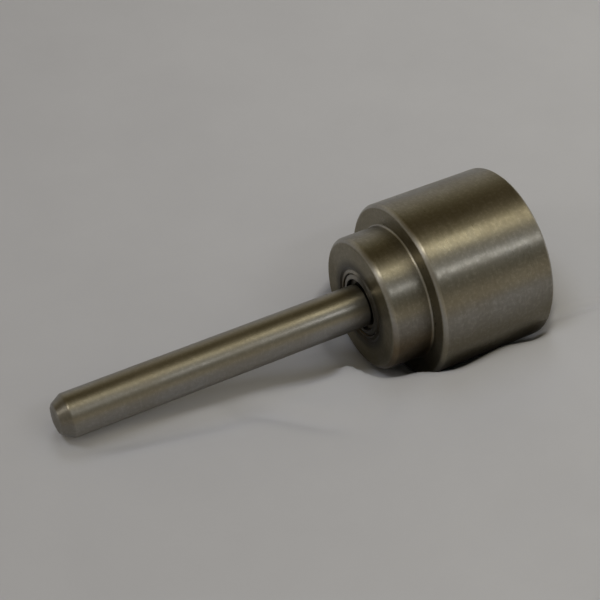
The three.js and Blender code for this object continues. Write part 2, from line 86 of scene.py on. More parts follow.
class Nodes:
    """A short way to write a node tree. A colour may be given as three numbers."""

    def __init__(self, tree):
        self.tree = tree
        tree.nodes.clear()

    def add(self, kind, **settings):
        node = self.tree.nodes.new(kind)
        for name, value in settings.items():
            setattr(node, name, value)
        return node

    def put(self, socket, value):
        if isinstance(value, bpy.types.NodeSocket):
            self.tree.links.new(value, socket)
        elif socket.type == "RGBA":
            socket.default_value = (*value, 1.0)
        else:
            socket.default_value = value

    def math(self, operation, *values):
        node = self.add("ShaderNodeMath", operation=operation)
        for socket, value in zip(node.inputs, values):
            self.put(socket, value)
        return node.outputs[0]

    def times(self, a, b):
        return self.math("MULTIPLY", a, b)

    def plus(self, a, b):
        return self.math("ADD", a, b)

    def split(self, vector):
        node = self.add("ShaderNodeSeparateXYZ")
        self.put(node.inputs[0], vector)
        return node.outputs

    def combine(self, x, y, z):
        node = self.add("ShaderNodeCombineXYZ")
        for socket, value in zip(node.inputs, (x, y, z)):
            self.put(socket, value)
        return node.outputs[0]

    def noise(self, vector, scale, detail, roughness=0.5):
        node = self.add("ShaderNodeTexNoise")
        self.put(node.inputs["Vector"], vector)
        node.inputs["Scale"].default_value = scale
        node.inputs["Detail"].default_value = detail
        node.inputs["Roughness"].default_value = roughness
        return node.outputs["Fac"]

    def map(self, value, low, high, to_low, to_high, smooth=False):
        node = self.add("ShaderNodeMapRange", interpolation_type="SMOOTHSTEP" if smooth else "LINEAR")
        for socket, item in zip(node.inputs, (value, low, high, to_low, to_high)):
            self.put(socket, item)
        return node.outputs[0]

    def fade(self, value, low, high):
        """0 up to low and 1 from high on, with a soft change between them; low may be the larger one."""
        return self.map(value, low, high, 0.0, 1.0, smooth=True)

    def mix(self, factor, a, b, blend="MIX"):
        node = self.add("ShaderNodeMix", data_type="RGBA", blend_type=blend)
        self.put(node.inputs["Factor"], factor)
        self.put(node.inputs["A"], a)
        self.put(node.inputs["B"], b)
        return node.outputs["Result"]

    def ramp(self, value, stops):
        node = self.add("ShaderNodeValToRGB")
        self.put(node.inputs[0], value)
        ramp = node.color_ramp
        ramp.interpolation = "LINEAR"
        while len(ramp.elements) < len(stops):
            ramp.elements.new(0.5)
        for element, (place, color) in zip(ramp.elements, stops):
            element.position = place
            element.color = (*color, 1.0)
        return node.outputs["Color"]

    def bump(self, height, strength, distance):
        node = self.add("ShaderNodeBump")
        node.inputs["Strength"].default_value = strength
        node.inputs["Distance"].default_value = distance
        self.put(node.inputs["Height"], height)
        return node.outputs[0]

    def surface(self, shader, output="ShaderNodeOutputMaterial"):
        self.put(self.add(output).inputs["Surface"], shader.outputs[0])


def linear(r, g, b):
    """An sRGB colour, 0 to 255, as linear values."""

    def channel(v):
        v /= 255
        return v / 12.92 if v <= 0.04045 else ((v + 0.055) / 1.055) ** 2.4

    return channel(r), channel(g), channel(b)


# ------------------------------------------------------------------ materials

# Painted shade: a near-black laid into the bore and on the faces around its mouth, where only shade falls.
GREASE = (0.008, 0.0075, 0.006)  # linear
# Bright flecks in the grain, and the painted highlight on the edges; then the painted shade on dark edges.
WORN_BRIGHT = linear(205, 202, 196)
WORN_DARK = linear(60, 57, 50)
COARSE_PITCH = 0.42  # mm, the feed of the coarse tool marks
NICK_PITCH = 0.16  # mm
FACE_RINGS = 0.73  # how close together the rings on a face are, against those along the axis

# What a steel can have, and what it has where its own line says nothing. Places are millimetres.
STEEL = dict(
    roughness=0.3,
    anisotropic=0.75,
    tint=(0.93, 0.88, 0.78),  # the colour of the cloudy patches, against the base
    smudges=0.06,  # how much the patches change the roughness
    marks=1.0,  # how much the rings of tool marks show
    mark_pitch=0.35,
    speckle=0.3,  # how much the short nicks show
    mottle=0.08,  # how much the fine pitting shows
    scratches=0.0,  # how deep the scratches along X are
    face_roughness=0.12,  # what the flat faces add to the roughness
    face_shade=0.7,  # 1 leaves the flat faces as bright as the rest, and less makes them darker
    face_tint=None,  # multiplies the colour of the flat faces
    edge_shine=0.0,  # painted light on the edges: a painted highlight above 0, painted shade below 0
    coarse_left_of=None,  # the x left of which the tool marks are coarse
    oily=None,  # painted shade inside the bore, where the gap is dark: its least x and its largest radius
    stained=None,  # painted shade on the faces around the mouth; three radii: the far side is left unshaded inside the first; the shade fades between the others
    drained=None,  # painted shade on the underside, darker below: two heights it fades between, its tints on boss and head
)


class Turned:
    """The places, masks and noises of a turned surface, with its axis along X."""

    def __init__(self, n, look):
        self.n = n
        self.place = n.add("ShaderNodeTexCoord").outputs["Object"]
        self.x, self.y, self.z = n.split(self.place)
        self.radius = n.math("SQRT", n.plus(n.times(self.y, self.y), n.times(self.z, self.z)))
        self.along = n.plus(self.x, n.times(self.radius, FACE_RINGS))
        normal = n.split(n.add("ShaderNodeNewGeometry").outputs["True Normal"])
        self.slope = n.math("ABSOLUTE", normal[0])
        self.face = n.fade(self.slope, 0.86, 0.985)
        self.rings = self.rings_of(look["mark_pitch"], 26.0, 4.0, 0.62)
        self.wide = self.rings_of(look["mark_pitch"] * 6, 14.0, 2.0, 0.5)
        self.nicks = self.rings_of(NICK_PITCH, 420.0, 3.0, 0.65)
        self.cloud = n.noise(self.place, 95.0, detail=4.0, roughness=0.6)
        self.coarse = None
        if look["coarse_left_of"] is not None:
            step = look["coarse_left_of"] * MM
            self.coarse = n.map(self.x, step, step - 0.1 * MM, 0.0, 1.0)

    def rings_of(self, pitch, turn, detail, roughness):
        """Noise that changes every pitch millimetres along the axis, and turn times per metre across it."""
        n = self.n
        rings = n.times(self.along, 1 / (pitch * MM))
        spot = n.combine(rings, n.times(self.y, turn), n.times(self.z, turn))
        return n.noise(spot, 1.0, detail, roughness)

    def color(self, base, look):
        n = self.n
        light = linear(*base)
        dark = tuple(c * t for c, t in zip(light, look["tint"]))

        def darker(share):
            return tuple(c * share for c in dark)

        color = n.mix(n.map(self.cloud, 0.35, 0.75, 0.0, 0.75), light, dark)
        color = n.mix(n.map(self.rings, 0.3, 0.7, 0.22 * look["marks"], 0.0), color, darker(0.62))
        color = n.mix(n.map(self.nicks, 0.56, 0.74, 0.0, 0.35 * look["speckle"]), color, darker(0.5))
        grain = n.noise(self.place, 1500.0, detail=3.0, roughness=0.65)
        color = n.mix(n.map(grain, 0.38, 0.66, 0.0, look["mottle"]), color, darker(0.4))
        color = n.mix(n.map(grain, 0.36, 0.46, 0.5 * look["mottle"], 0.0), color, WORN_BRIGHT)
        shaded = (dark[0] * 0.1, dark[1] * 0.06, 0.0)
        color = n.mix(n.times(self.face, 1 - look["face_shade"]), color, shaded)
        # painted highlight or painted shade on the edges
        if look["edge_shine"]:
            worn_color = WORN_BRIGHT if look["edge_shine"] > 0 else WORN_DARK
            color = n.mix(self.worn(abs(look["edge_shine"])), color, worn_color)
        # painted shade on the faces around the mouth
        if look["stained"]:
            color = n.mix(self.stain(*look["stained"]), color, GREASE)
        # painted shade inside the bore
        if look["oily"]:
            color = n.mix(self.film(*look["oily"]), color, GREASE)
        if look["face_tint"]:
            color = n.mix(self.face, color, look["face_tint"], "MULTIPLY")
        # painted shade on the underside, darker lower down
        if look["drained"]:
            high, low, boss_tint, head_tint = look["drained"]
            wet = n.times(n.fade(self.z, high * MM, low * MM), n.math("SUBTRACT", 1.0, self.face))
            color = n.mix(wet, color, n.mix(self.coarse, head_tint, boss_tint), "MULTIPLY")
        return color

    def worn(self, amount):
        """Where light is painted on the edges: where the surface is neither round nor flat."""
        n = self.n
        edge = n.times(n.fade(self.slope, 0.12, 0.4), n.fade(self.slope, 0.97, 0.8))
        return n.times(edge, n.map(self.cloud, 0.3, 0.6, 0.6 * amount, amount))

    def stain(self, clean, fade_from, fade_to):
        """Painted shade on the boss's face, around its mouth."""
        n = self.n
        near_side = n.fade(self.y, 2.4 * MM, 0.0)
        outside = n.map(self.radius, clean * MM, (clean + 0.15) * MM, 0.0, 1.0)
        stained = n.math("MAXIMUM", outside, near_side)
        stained = n.times(stained, n.map(self.radius, fade_from * MM, fade_to * MM, 0.7, 0.0, smooth=True))
        stained = n.times(stained, n.map(self.slope, 0.4, 0.6, 0.0, 1.0))
        return n.times(stained, n.map(self.x, (X_HEAD - 0.1) * MM, X_HEAD * MM, 1.0, 0.0))

    def film(self, start, outer):
        """Painted shade on what lies right of start and nearer to the axis than outer, inside the dark bore.
        """
        n = self.n
        film = n.fade(self.x, (start - 0.05) * MM, (start + 0.15) * MM)
        film = n.times(film, n.map(self.radius, outer * MM, (outer + 0.03) * MM, 1.0, 0.0))
        return n.times(film, n.map(self.cloud, 0.3, 0.7, 0.9, 0.97))

    def roughness(self, look):
        n = self.n
        least = look["roughness"] - 0.03 * look["marks"]
        most = look["roughness"] + 0.03 * look["marks"]
        rough = n.map(self.rings, 0.3, 0.7, least, most)
        rough = n.plus(rough, n.map(self.cloud, 0.3, 0.7, -look["smudges"], look["smudges"]))
        specks = n.noise(self.place, 900.0, detail=2.0, roughness=0.7)
        rough = n.plus(rough, n.map(specks, 0.55, 0.8, 0.0, 0.05))
        rough = n.plus(rough, n.map(self.nicks, 0.45, 0.75, 0.0, 0.12 * look["speckle"]))
        rough = n.plus(rough, n.times(self.face, look["face_roughness"]))
        if self.coarse is not None:
            rough = n.plus(rough, n.times(self.coarse, 0.06))
        return rough

    def relief(self, look):
        n = self.n
        pits = n.noise(self.place, 1100.0, detail=2.0)
        height = n.plus(n.times(self.rings, 0.35), self.wide)
        height = n.plus(height, n.times(self.nicks, 0.5 * look["speckle"]))
        height = n.plus(height, n.times(pits, 1.1 * look["speckle"]))
        if self.coarse is not None:
            feed = n.math("SINE", n.times(self.along, 2 * math.pi / (COARSE_PITCH * MM)))
            height = n.plus(height, n.times(n.times(feed, self.coarse), 0.22))
        if look["scratches"]:
            stretched = n.combine(n.times(self.x, 18.0), n.times(self.y, 700.0), n.times(self.z, 700.0))
            lines = n.map(n.noise(stretched, 1.0, detail=2.0), 0.66, 0.74, 0.0, look["scratches"])
            height = n.math("SUBTRACT", height, lines)
        return n.bump(height, 0.5 * look["marks"], 0.01 * MM)


def steel(name, base, **own):
    """A turned or ground steel; base is its sRGB colour, and own holds what differs from STEEL."""
    look = {**STEEL, **own}
    material = bpy.data.materials.new(name)
    material.use_nodes = True
    n = Nodes(material.node_tree)
    turned = Turned(n, look)
    bsdf = n.add("ShaderNodeBsdfPrincipled")
    bsdf.inputs["Metallic"].default_value = 1.0
    bsdf.inputs["Anisotropic"].default_value = look["anisotropic"]
    bsdf.inputs["Anisotropic Rotation"].default_value = 0.25
    n.put(bsdf.inputs["Tangent"], n.add("ShaderNodeTangent", direction_type="RADIAL", axis="X").outputs[0])
    n.put(bsdf.inputs["Base Color"], turned.color(base, look))
    n.put(bsdf.inputs["Roughness"], turned.roughness(look))
    n.put(bsdf.inputs["Normal"], turned.relief(look))
    n.surface(bsdf)
    return material


# Painted shade on the faces around the boss's mouth: the radii it works with.
STAIN = (CUP_RADIUS + 0.72, 7.4, 9.4)
# Painted shade inside the bore: on the shank within the mouth, and on the cup's own bore.
OILY_SHANK = (X_BOSS, SHANK_RADIUS + 0.1)
OILY_BORE = (X_BOSS - 0.5, 4.95)

TURNED = steel(
    "turned_steel",
    (151, 149, 144),
    roughness=0.32,
    anisotropic=0.8,
    mark_pitch=0.4,
    speckle=0.7,
    mottle=0.19,
    face_roughness=-0.02,
    face_tint=(1.02, 0.97, 0.78),
    # painted highlight on the edges
    edge_shine=0.3,
    coarse_left_of=X_HEAD - 0.05,
    # painted shade on the boss's face around the mouth
    stained=STAIN,
    # painted shade on the underside
    drained=(6.5, -1.0, (0.46, 0.37, 0.25), (0.6, 0.56, 0.45)),
)
GROUND = steel(
    "ground_steel",
    (152, 150, 146),
    roughness=0.36,
    anisotropic=0.45,
    marks=0.4,
    mark_pitch=0.25,
    scratches=0.3,
    speckle=0.4,
    mottle=0.12,
    # painted shade on the edges
    edge_shine=-0.25,
    # painted shade on the shank inside the bore
    oily=OILY_SHANK,
)
POLISHED = steel(
    "polished_bearing_steel",
    (172, 170, 166),
    roughness=0.14,
    anisotropic=0.3,
    marks=0.3,
    mark_pitch=0.15,
)
DRAWN = steel(
    "drawn_steel",
    (146, 143, 136),
    roughness=0.27,
    anisotropic=0.4,
    marks=0.5,
    mark_pitch=0.3,
    face_shade=0.9,
    # painted shade inside the cup's bore
    oily=OILY_BORE,
    # painted shade on the cup's face around the mouth
    stained=STAIN,
)
SPRING = steel(
    "spring_steel",
    (78, 75, 70),
    roughness=0.42,
    anisotropic=0.3,
    marks=0.4,
    mark_pitch=0.2,
    tint=(0.7, 0.68, 0.7),
    face_shade=0.9,
)
CAGE = steel("cage_steel", (136, 131, 122), roughness=0.4, anisotropic=0.3, marks=0.4, face_shade=0.8)
HARDENED = steel(
    "hardened_point_steel",
    (165, 163, 158),
    roughness=0.22,
    anisotropic=0.7,
    marks=0.6,
    mark_pitch=0.18,
)

# ------------------------------------------------------------------ turned pieces

SHARP_ANGLE = math.radians(32)  # edges that turn by more than this look sharp
ARC_STEP = 11  # degrees, the most that one step of a rounding turns


def rounded(corners):
    """A profile's corners, each [x, radius, rounding], with true arcs and short support edges beside them."""
    out = []
    count = len(corners)
    for i, (x, r, rounding) in enumerate(corners):
        here = Vector((x, r))
        if rounding <= 0 or i in (0, count - 1):
            out.append(here)
            continue
        a = Vector(corners[i - 1][:2]) - here
        b = Vector(corners[i + 1][:2]) - here
        half = a.angle(b) / 2
        reach = min(rounding / math.tan(half), 0.45 * a.length, 0.45 * b.length)
        radius = reach * math.tan(half)
        centre = here + (a.normalized() + b.normalized()).normalized() * (radius / math.sin(half))
        start = here + a.normalized() * reach
        end = here + b.normalized() * reach
        u, v = start - centre, end - centre
        sweep = u.angle(v)
        steps = max(3, math.ceil(math.degrees(sweep) / ARC_STEP))
        support = min(0.35 * reach, 0.04)
        out.append(start + a.normalized() * support)
        for k in range(steps + 1):
            t = k / steps
            out.append(centre + (u * math.sin((1 - t) * sweep) + v * math.sin(t * sweep)) / math.sin(sweep))
        out.append(end + b.normalized() * support)
    return out


def revolve(name, corners, closed, sides, centre_y=0.0):
    """A mesh turned around a line parallel to the X axis, from a profile in millimetres."""
    if closed:
        corners = [*corners, corners[0]]
    profile = rounded(corners)
    if closed:
        profile = profile[:-1]
    verts, rows = [], []
    for x, r in profile:
        if r < 1e-6:
            rows.append([len(verts)] * sides)
            verts.append((x * MM, centre_y * MM, 0))
            continue
        rows.append(list(range(len(verts), len(verts) + sides)))
        for k in range(sides):
            angle = 2 * math.pi * k / sides
            verts.append((x * MM, (centre_y - r * math.sin(angle)) * MM, r * MM * math.cos(angle)))
    faces = []
    pairs = list(zip(rows, rows[1:]))
    if closed:
        pairs.append((rows[-1], rows[0]))
    for low, high in pairs:
        for k in range(sides):
            j = (k + 1) % sides
            loop = [low[k], low[j], high[j], high[k]]
            face = [v for i, v in enumerate(loop) if v != loop[i - 1]]
            if len(face) > 2:
                faces.append(face)
    mesh = bpy.data.meshes.new(name)
    mesh.from_pydata(verts, [], faces)
    if volume(mesh) < 0:
        mesh.flip_normals()
    return mesh


def lathe(name, corners, material, body, replaced, closed=True, sides=256, cutters=()):
    """A turned piece around the X axis; the cutters are meshes that are taken out of it."""
    mesh = revolve(name, corners, closed, sides)
    for cutter in cutters:
        mesh = cut(mesh, cutter)
    mesh.materials.clear()
    mesh.materials.append(material)
    finish_piece(name, mesh, body, replaced)


def to_mesh(item):
    """The mesh that an object makes, modifiers and all; the object itself is taken away."""
    bpy.context.scene.collection.objects.link(item)
    depsgraph = bpy.context.evaluated_depsgraph_get()
    mesh = bpy.data.meshes.new_from_object(item.evaluated_get(depsgraph))
    bpy.data.objects.remove(item)
    return mesh


def cut(mesh, cutter):
    """The mesh, with what lies inside the cutter taken out."""
    blank = bpy.data.objects.new("blank", mesh)
    tool = bpy.data.objects.new("tool", cutter)
    bpy.context.scene.collection.objects.link(tool)
    modifier = blank.modifiers.new("cut", "BOOLEAN")
    modifier.operation = "DIFFERENCE"
    modifier.object = tool
    result = to_mesh(blank)
    bpy.data.objects.remove(tool)
    weld(result, 0.003 * MM)
    return result


def weld(mesh, distance):
    """Joins points that are closer than distance, in metres, and takes out the faces that this flattens."""
    welded = bmesh.new()
    welded.from_mesh(mesh)
    bmesh.ops.remove_doubles(welded, verts=welded.verts, dist=distance)
    bmesh.ops.dissolve_degenerate(welded, edges=welded.edges, dist=distance)
    welded.to_mesh(mesh)
    welded.free()


def plate(name, outline, holes, x_from, x_to, bevel, material, body, replaced):
    """A flat piece across the X axis, with softened edges.

    The outline and the holes are (y, z) points, in millimetres."""
    data = bpy.data.curves.new(name, "CURVE")
    data.dimensions = "2D"
    data.fill_mode = "BOTH"
    data.extrude = ((x_to - x_from) / 2 - bevel) * MM
    data.bevel_depth = bevel * MM
    data.bevel_resolution = 2
    data.offset = -bevel * MM
    for ring in (outline, *holes):
        spline = data.splines.new("POLY")
        spline.points.add(len(ring) - 1)
        spline.use_cyclic_u = True
        for point, (u, v) in zip(spline.points, ring):
            point.co = (u * MM, v * MM, 0, 1)
    mesh = to_mesh(bpy.data.objects.new(name, data))
    middle = (x_from + x_to) / 2 * MM
    for vertex in mesh.vertices:
        u, v, w = vertex.co
        vertex.co = (middle + w, u, v)
    weld(mesh, 0.001 * MM)
    mesh.materials.clear()
    mesh.materials.append(material)
    finish_piece(name, mesh, body, replaced)


def finish_piece(name, mesh, body, replaced):
    """Puts a mesh in the scene for the CAD nodes that it replaces, and lets it move with its body."""
    mesh.validate()
    mesh.polygons.foreach_set("use_smooth", [True] * len(mesh.polygons))
    mesh.set_sharp_from_angle(angle=SHARP_ANGLE)
    piece = bpy.data.objects.new(name, mesh)
    bpy.context.scene.collection.objects.link(piece)
    if volume(mesh) < 0:
        mesh.flip_normals()
    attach(piece, body)
    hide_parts(*replaced)


def volume(mesh):
    """Six times the mesh's volume; below 0 where its faces look inwards."""
    mesh.calc_loop_triangles()
    total = 0.0
    for triangle in mesh.loop_triangles:
        a, b, c = (mesh.vertices[i].co for i in triangle.vertices)
        total += a.dot(b.cross(c))
    return total


lathe(
    "arbor_ground",
    [
        (0.0, 0, 0),
        (0.06, 1.2, 0.0),
        (0.3, 2.35, 0.5),
        (0.62, 2.86, 0.35),
        (2.5, SHANK_RADIUS, 0.9),
        (X_FLANGE, SHANK_RADIUS, 0),
        (X_FLANGE, FLANGE_RADIUS, 0.2),
        (FLANGE_END, FLANGE_RADIUS, 0.2),
        (FLANGE_END, SHANK_RADIUS, 0),
        (SPIGOT_END, SHANK_RADIUS, 0.3),
        (SPIGOT_END, 0, 0),
    ],
    GROUND,
    "arbor",
    ["arbor"],
    closed=False,
)

RECESS_RADIUS = CAP_RADIUS + 0.05
GROOVE_RADIUS = RING_RADIUS + 0.12
RECESS_FLOOR = CAP_START - 0.02
BORE_RADIUS = outer_high.z / MM + 0.08
X_BORE = X_HEAD + 3.0

lathe(
    "head_turned",
    [
        (X_BOSS + 3, CUP_RADIUS + 0.04, 0),
        (X_BOSS + 0.12, CUP_RADIUS + 0.05, 0.04),
        (X_BOSS, CUP_RADIUS + 0.15, 0.05),
        (X_BOSS, CUP_RADIUS + 0.28, 0.06),
        (X_BOSS + 0.23, CUP_RADIUS + 0.74, 0.06),
        (X_BOSS + 0.23, CUP_RADIUS + 0.84, 0.06),
        (X_BOSS, CUP_RADIUS + 1.32, 0.12),
        (X_BOSS, BOSS_RADIUS - 0.75, 0.95),
        (X_BOSS + 0.75, BOSS_RADIUS, 0.95),
        (X_HEAD, BOSS_RADIUS, 0.4),
        (X_HEAD, HEAD_RADIUS - 0.62, 0.75),
        (X_HEAD + 0.62, HEAD_RADIUS, 0.75),
        (X_REAR - 0.5, HEAD_RADIUS, 0.4),
        (X_REAR, HEAD_RADIUS - 0.5, 0.4),
        (X_REAR, RECESS_RADIUS + 0.35, 0.1),
        (X_REAR - 0.35, RECESS_RADIUS, 0.08),
        (RING_END + 0.05, RECESS_RADIUS, 0.03),
        (RING_END + 0.05, GROOVE_RADIUS, 0.05),
        (RING_START - 0.05, GROOVE_RADIUS, 0.05),
        (RING_START - 0.05, RECESS_RADIUS, 0.03),
        (RECESS_FLOOR, RECESS_RADIUS, 0.1),
        (RECESS_FLOOR, BORE_RADIUS, 0.1),
        (X_BORE, BORE_RADIUS, 0.2),
        (X_BORE, CUP_RADIUS + 0.04, 0.1),
    ],
    TURNED,
    "head",
    ["head_shell"],
    sides=320,
)

X_LIP = X_BOSS + 0.02
CUP_BORE = 4.92
CUP_INSIDE = 5.5
CUP_WALL = 0.6
lathe(
    "needle_cup_drawn",
    [
        (X_CUP + 2, CUP_INSIDE, 0),
        (X_CUP + CUP_WALL, CUP_INSIDE, 0.1),
        (X_CUP + CUP_WALL, CUP_BORE, 0.08),
        (X_LIP + 0.08, CUP_BORE, 0.03),
        (X_LIP, CUP_BORE + 0.1, 0.04),
        (X_LIP, 5.22, 0.06),
        (X_LIP + 0.15, 5.62, 0.06),
        (X_LIP + 0.17, 5.82, 0.05),
        (X_LIP + 0.4, CUP_RADIUS - 0.04, 0.05),
        (X_LIP + 0.6, CUP_RADIUS, 0.2),
        (CUP_END - 0.8, CUP_RADIUS, 0.5),
        (CUP_END, 5.4, 0.4),
        (CUP_END, 4.9, 0.1),
        (CUP_END - CUP_WALL, 4.9, 0.1),
        (CUP_END - CUP_WALL, CUP_INSIDE, 0.1),
    ],
    DRAWN,
    "head",
    ["needle_bearing_cup"],
)

TIP_RADIUS = 0.25
CONE_START = POINT_END - (POINT_RADIUS - TIP_RADIUS) / math.tan(math.radians(30))
lathe(
    "center_point_ground",
    [
        (POINT_TAIL, 0, 0),
        (POINT_TAIL, POINT_RADIUS, 0.25),
        (CONE_START, POINT_RADIUS, 0.06),
        (POINT_END, TIP_RADIUS, 0.1),
        (POINT_END, 0, 0),
    ],
    HARDENED,
    "head",
    ["center_point"],
    closed=False,
)

NOSE_BORE = POINT_RADIUS + 0.03
NOSE_RIM_RADIUS = 10.9
NOSE_HUB_RADIUS = 6.2
NOSE_STEP = 0.6
HOLE_RADIUS = 1.25
HOLE_PLACE = 8.5  # from the axis
COUNTERSINK = 0.3


def spanner_hole(centre_y):
    """What a countersunk hole for a pin spanner takes out of the nose cap."""
    corners = [
        (CAP_START - 1, 0, 0),
        (CAP_START - 1, HOLE_RADIUS, 0),
        (CAP_FACE - NOSE_STEP - COUNTERSINK, HOLE_RADIUS, 0),
        (CAP_FACE - NOSE_STEP, HOLE_RADIUS + COUNTERSINK, 0),
        (CAP_FACE + 1, HOLE_RADIUS + COUNTERSINK + 1, 0),
        (CAP_FACE + 1, 0, 0),
    ]
    return revolve("hole_cutter", corners, closed=False, sides=64, centre_y=centre_y)


lathe(
    "nose_cap_turned",
    [
        (CAP_START, NOSE_BORE, 0),
        (CAP_START, CAP_RADIUS - 0.3, 0.15),
        (CAP_START + 0.3, CAP_RADIUS, 0.15),
        (CAP_FACE - 0.2, CAP_RADIUS, 0.12),
        (CAP_FACE, CAP_RADIUS - 0.2, 0.12),
        (CAP_FACE, NOSE_RIM_RADIUS, 0.14),
        (CAP_FACE - NOSE_STEP, NOSE_RIM_RADIUS - NOSE_STEP, 0.2),
        (CAP_FACE - NOSE_STEP, NOSE_HUB_RADIUS + NOSE_STEP, 0.2),
        (CAP_FACE, NOSE_HUB_RADIUS, 0.14),
        (CAP_FACE, NOSE_BORE + 0.35, 0.08),
        (CAP_FACE - 0.35, NOSE_BORE, 0.08),
    ],
    TURNED,
    "head",
    ["nose_cap"],
    cutters=[spanner_hole(-HOLE_PLACE), spanner_hole(HOLE_PLACE)],
)

SNAP_GAP = 34.0  # degrees
SNAP_LUG = 17.0  # degrees, the width of one eye
SNAP_LUG_RADIUS = 10.1  # the eyes reach in to here
SNAP_HOLE_RADIUS = 0.75
SNAP_HOLE_PLACE = 11.45  # from the axis
SNAP_NARROWEST, SNAP_WIDEST = 1.5, 2.3  # the band, beside the eyes and opposite them
SNAP_BEVEL = 0.1


def snap_outline():
    """The retaining ring's outline, its gap facing +Z, as (y, z) points."""

    def polar(radius, degrees, rounding=0.0):
        a = math.radians(degrees)
        return radius * math.sin(a), radius * math.cos(a), rounding

    start, end = SNAP_GAP / 2, 360 - SNAP_GAP / 2
    band_start, band_end = start + SNAP_LUG, end - SNAP_LUG
    points = [polar(RING_RADIUS, start, 0.3)]
    points += [polar(RING_RADIUS, a) for a in np.linspace(start, end, 110)[1:-1]]
    points += [polar(RING_RADIUS, end, 0.3), polar(SNAP_LUG_RADIUS, end, 0.8)]
    points.append(polar(SNAP_LUG_RADIUS, band_end + SNAP_LUG / 4, 0.8))
    for a in np.linspace(band_end, band_start, 100):
        share = (1 - math.cos(math.radians(a))) / 2
        band = SNAP_NARROWEST + share * (SNAP_WIDEST - SNAP_NARROWEST)
        points.append(polar(RING_RADIUS - band, a, 0.25 if a in (band_end, band_start) else 0.0))
    points += [polar(SNAP_LUG_RADIUS, band_start - SNAP_LUG / 4, 0.8), polar(SNAP_LUG_RADIUS, start, 0.8)]
    return [tuple(p) for p in rounded([*points, points[0]])[:-1]]


def snap_holes():
    """The holes in the two eyes of the retaining ring, as (y, z) points."""
    place = math.radians(SNAP_GAP / 2 + 0.42 * SNAP_LUG)
    turn = [2 * math.pi * k / 40 for k in range(40)]
    out = []
    for side in (-1, 1):
        y = side * SNAP_HOLE_PLACE * math.sin(place)
        z = SNAP_HOLE_PLACE * math.cos(place)
        out.append([(y + SNAP_HOLE_RADIUS * math.cos(a), z + SNAP_HOLE_RADIUS * math.sin(a)) for a in turn])
    return out


plate(
    "snap_ring_sprung",
    snap_outline(),
    snap_holes(),
    RING_START,
    RING_END,
    SNAP_BEVEL,
    SPRING,
    "head",
    ["retaining_ring"],
)

# ------------------------------------------------------------------ CAD nodes that stay: their materials


def dress(name, material):
    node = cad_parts[name]
    node.data.materials.clear()
    node.data.materials.append(material)


ROLLING = ("needle_0", "needle_1", "ball_0", "thrust_ball")
RACES = ("ball_bearing", "thrust_housing", "thrust_shaft")

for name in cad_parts:
    if name.startswith((*ROLLING, *RACES)):
        dress(name, POLISHED)
    elif name.endswith("cage"):
        dress(name, CAGE)
    elif name.startswith("bearing_shield"):
        dress(name, DRAWN)
    elif name == "wave_washer":
        dress(name, SPRING)

# ------------------------------------------------------------------ cloth

# The soft cloth the object lies on. Millimetres: x, then the cloth's height there.
CLOTH_LEVELS = [
    (-60, -5.2),
    (-20, -4.4),
    (2, -4.12),
    (14, -4.7),
    (30, -6.0),
    (45, -6.7),
    (70, -6.9),
    (110, -7.2),
    (160, -7.6),
]
CLOTH_FAR_LEVEL = -7.5
FAR_FROM, FAR_TO = 150, 400  # it reaches that level between these distances
CLOTH_MIDDLE = 45  # x, about halfway along the object
CLOTH_HALF = 45  # about half the object's length
CLOTH_REACH = 2500.0  # how far the cloth goes on to each side
SWELL_HEIGHT = 0.9  # slow waves away from the object
SWELL_FROM, SWELL_TO = 20, 70
SWELL_SCALE = 0.017
SWELL_LAYER = 3.1
# The hollow that the head presses into it: x, depth under the axis, half the width at the axis's height.
HOLLOW = [
    (-20, 3.0, 8.0),
    (10, 4.2, 8.0),
    (28, 6.8, 8.3),
    (38, 8.3, 9.8),
    (45, 9.8, 11.7),
    (50, 10.8, 11.4),
    (53.5, 11.5, 10.3),
    (55.2, 12.2, 14.3),
    (56.8, 12.8, 16.8),
    (60, 13.8, 18.6),
    (63.6, 14.8, 19.2),
    (66.2, 16.6, 20.4),
    (80, 16.75, 20.7),
    (90.3, 16.75, 20.7),
    (92.0, 12.5, 20.0),
    (95.0, 8.0, 18.5),
    (100, 6.0, 17.0),
    (114, 4.0, 15.0),
]
# The cloth leaves the head's side this far round from the bottom, and goes on straight.
SEAT_ANGLE = math.radians(54)
LIP_HEIGHT, LIP_FROM, LIP_WIDTH = 1.2, 16.2, 5.2  # the cloth pushed up beside the head
LIP_START, LIP_END = (56, 68), (92, 106)  # the x where that starts and ends
HOLLOW_EDGE = 1.3  # how softly the cloth turns over the hollow's edge
# Soft folds: start and end (x, y), width, depth.
FOLDS = [
    ((20.0, -4.6), (56.0, -9.2), 1.5, -0.3),
    ((4.0, -5.1), (35.0, -9.3), 2.0, 1.3),
    ((28.9, -4.6), (46.4, -19.9), 2.0, 1.3),
    ((58.0, -14.5), (47.0, -24.0), 2.6, 0.5),
    ((96.0, -43.0), (28.0, -52.5), 2.2, 0.4),
    ((88.0, -14.4), (112.0, -14.9), 1.0, 0.8),
    ((86.0, 62.0), (122.0, 80.0), 3.5, -0.5),
    ((30.0, 96.0), (44.0, 60.0), 7.0, 0.7),
    ((-40.0, 30.0), (10.0, 70.0), 9.0, -0.8),
]

CLOTH_DARK = (0.70, 0.695, 0.725)
CLOTH_LIGHT = (0.73, 0.725, 0.755)
# Painted light on the cloth: its colour is multiplied darker towards the left and brighter towards the right,
# as the light falling on it changes across the view.
CLOTH_LEFT = (0.806, 0.81, 0.826)
CLOTH_RIGHT = (1.115, 1.132, 1.158)
FADE_DIRECTION = (0.905, -0.425)
FADE_FROM, FADE_TO = -0.06, 0.14  # metres


def smooth(low, high, value):
    t = np.clip((value - low) / (high - low), 0.0, 1.0)
    return t * t * (3 - 2 * t)


